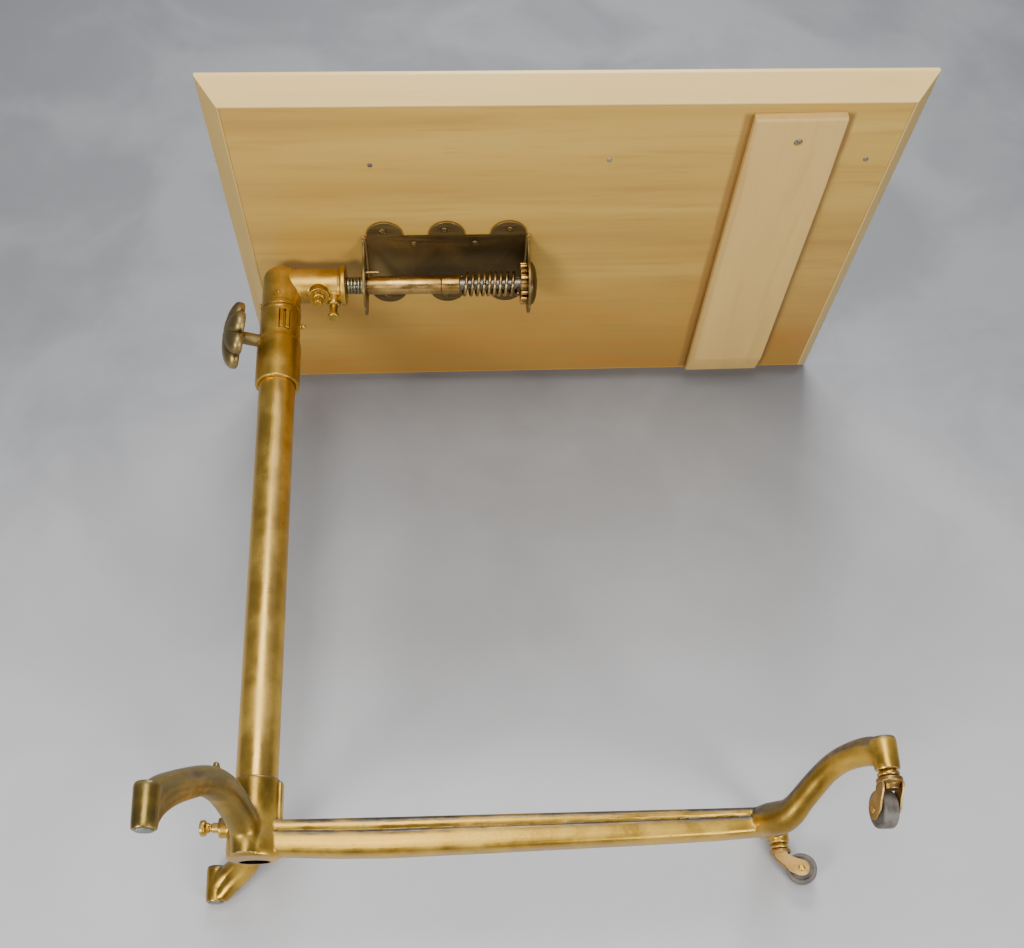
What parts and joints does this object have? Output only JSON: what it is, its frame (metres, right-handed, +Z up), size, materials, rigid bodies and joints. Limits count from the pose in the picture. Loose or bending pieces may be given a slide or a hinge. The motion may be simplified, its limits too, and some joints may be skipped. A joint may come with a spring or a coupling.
{
  "type": "book display stand",
  "caption": "Wheeled reading stand: cast arched base, tube post with clamped sliding column and a framed wooden top that tilts on a spring-locked spindle.",
  "frame": {"origin": "on the floor, under the middle of the whole stand's bounding box", "axes": "+X from the post towards the free end of the table, +Y towards the far side, +Z up"},
  "size_m": [0.7108, 0.4572, 0.6738],
  "materials": {
    "bronzed_iron": "worn old-gold bronze over iron",
    "dark_bronze": "dark bronze lacquer, satin",
    "brass": "aged, satin",
    "steel": "dull plated steel",
    "table_wood": "varnished, satin",
    "edge_wood": "varnished, satin",
    "batten_wood": "oiled, dull",
    "wheel_rubber": "dull grey"
  },
  "bodies": {
    "base_post": {"base_casting": "bronzed_iron", "glide_near": "steel", "glide_far": "steel", "outer_tube": "bronzed_iron", "collar": "bronzed_iron", "guide_key": "bronzed_iron", "collar_pin": "bronzed_iron", "caster_cup_near": "steel", "caster_cup_far": "steel"},
    "thumb_screw": {"hub_thumb_screw": "bronzed_iron"},
    "clamp": {"clamp_screw": "bronzed_iron", "clamp_knob": "bronzed_iron"},
    "column": {"inner_tube": "steel", "elbow": "bronzed_iron", "elbow_rivet": "bronzed_iron", "elbow_side_screw": "bronzed_iron", "spindle_set_screw": "bronzed_iron", "lug_screw": "bronzed_iron", "spindle": "steel", "threaded_bush": "brass", "spacer_sleeve": "brass", "spring_seat": "brass", "detent_spring": "steel", "wheel_key": "steel"},
    "detent": {"detent_wheel": "bronzed_iron"},
    "table": {"bracket": "dark_bronze", "ear_cap": "dark_bronze", "stop_pin": "steel", "bracket_screw_near_1": "dark_bronze", "bracket_screw_near_2": "dark_bronze", "bracket_screw_near_3": "dark_bronze", "bracket_screw_near_4": "dark_bronze", "bracket_screw_near_5": "dark_bronze", "bracket_screw_far_1": "dark_bronze", "bracket_screw_far_2": "dark_bronze", "bracket_screw_far_3": "dark_bronze", "bracket_screw_far_4": "dark_bronze", "bracket_screw_far_5": "dark_bronze", "table_panel": "table_wood", "edge_moulding_near": "edge_wood", "edge_moulding_right": "edge_wood", "edge_moulding_far": "edge_wood", "edge_moulding_left": "edge_wood", "batten": "batten_wood", "batten_screw": "steel", "panel_brad_1": "steel", "panel_brad_2": "steel", "panel_brad_3": "steel"},
    "caster_near": {"caster_fork_near": "bronzed_iron", "caster_axle_near": "steel"},
    "caster_far": {"caster_fork_far": "bronzed_iron", "caster_axle_far": "steel"},
    "wheel_near": {"caster_wheel_near": "wheel_rubber"},
    "wheel_far": {"caster_wheel_far": "wheel_rubber"}
  },
  "joints": [
    {"name": "thumb_screw_turn", "type": "hinge", "parent": "base_post", "child": "thumb_screw", "pos_m": [-0.3117, 0, 0.0382], "axis": [-1, 0, 0], "range_deg": [0, 720]},
    {"name": "clamp_turn", "type": "hinge", "parent": "base_post", "child": "clamp", "pos_m": [-0.32399, -0.01539, 0.5432], "axis": [-0.9397, -0.342, 0], "range_deg": [0, 720]},
    {"name": "column_slide", "type": "slide", "parent": "base_post", "child": "column", "axis": [0, 0, 1], "range_m": [0, 0.38]},
    {"name": "detent_release", "type": "slide", "parent": "column", "child": "detent", "axis": [-1, 0, 0], "range_m": [0, 0.005], "stiffness_N_per_m": 1500, "springref_m": -0.005, "deforming": ["detent_spring"]},
    {"name": "table_tilt", "type": "hinge", "parent": "column", "child": "table", "pos_m": [-0.1938, 0, 0.619], "axis": [1, 0, 0], "range_deg": [-75, 75]},
    {"name": "caster_swivel_near", "type": "hinge", "parent": "base_post", "child": "caster_near", "pos_m": [0.23045, -0.11739, 0.0415], "axis": [0, 0, 1], "continuous": true},
    {"name": "caster_swivel_far", "type": "hinge", "parent": "base_post", "child": "caster_far", "pos_m": [0.21771, 0.16332, 0.0415], "axis": [0, 0, 1], "continuous": true},
    {"name": "caster_roll_near", "type": "hinge", "parent": "caster_near", "child": "wheel_near", "pos_m": [0.22888, -0.09946, 0.015], "axis": [-0.9962, -0.0872, 0], "continuous": true},
    {"name": "caster_roll_far", "type": "hinge", "parent": "caster_far", "child": "wheel_far", "pos_m": [0.23509, 0.15866, 0.015], "axis": [0.2588, 0.9659, 0], "continuous": true}
  ]
}
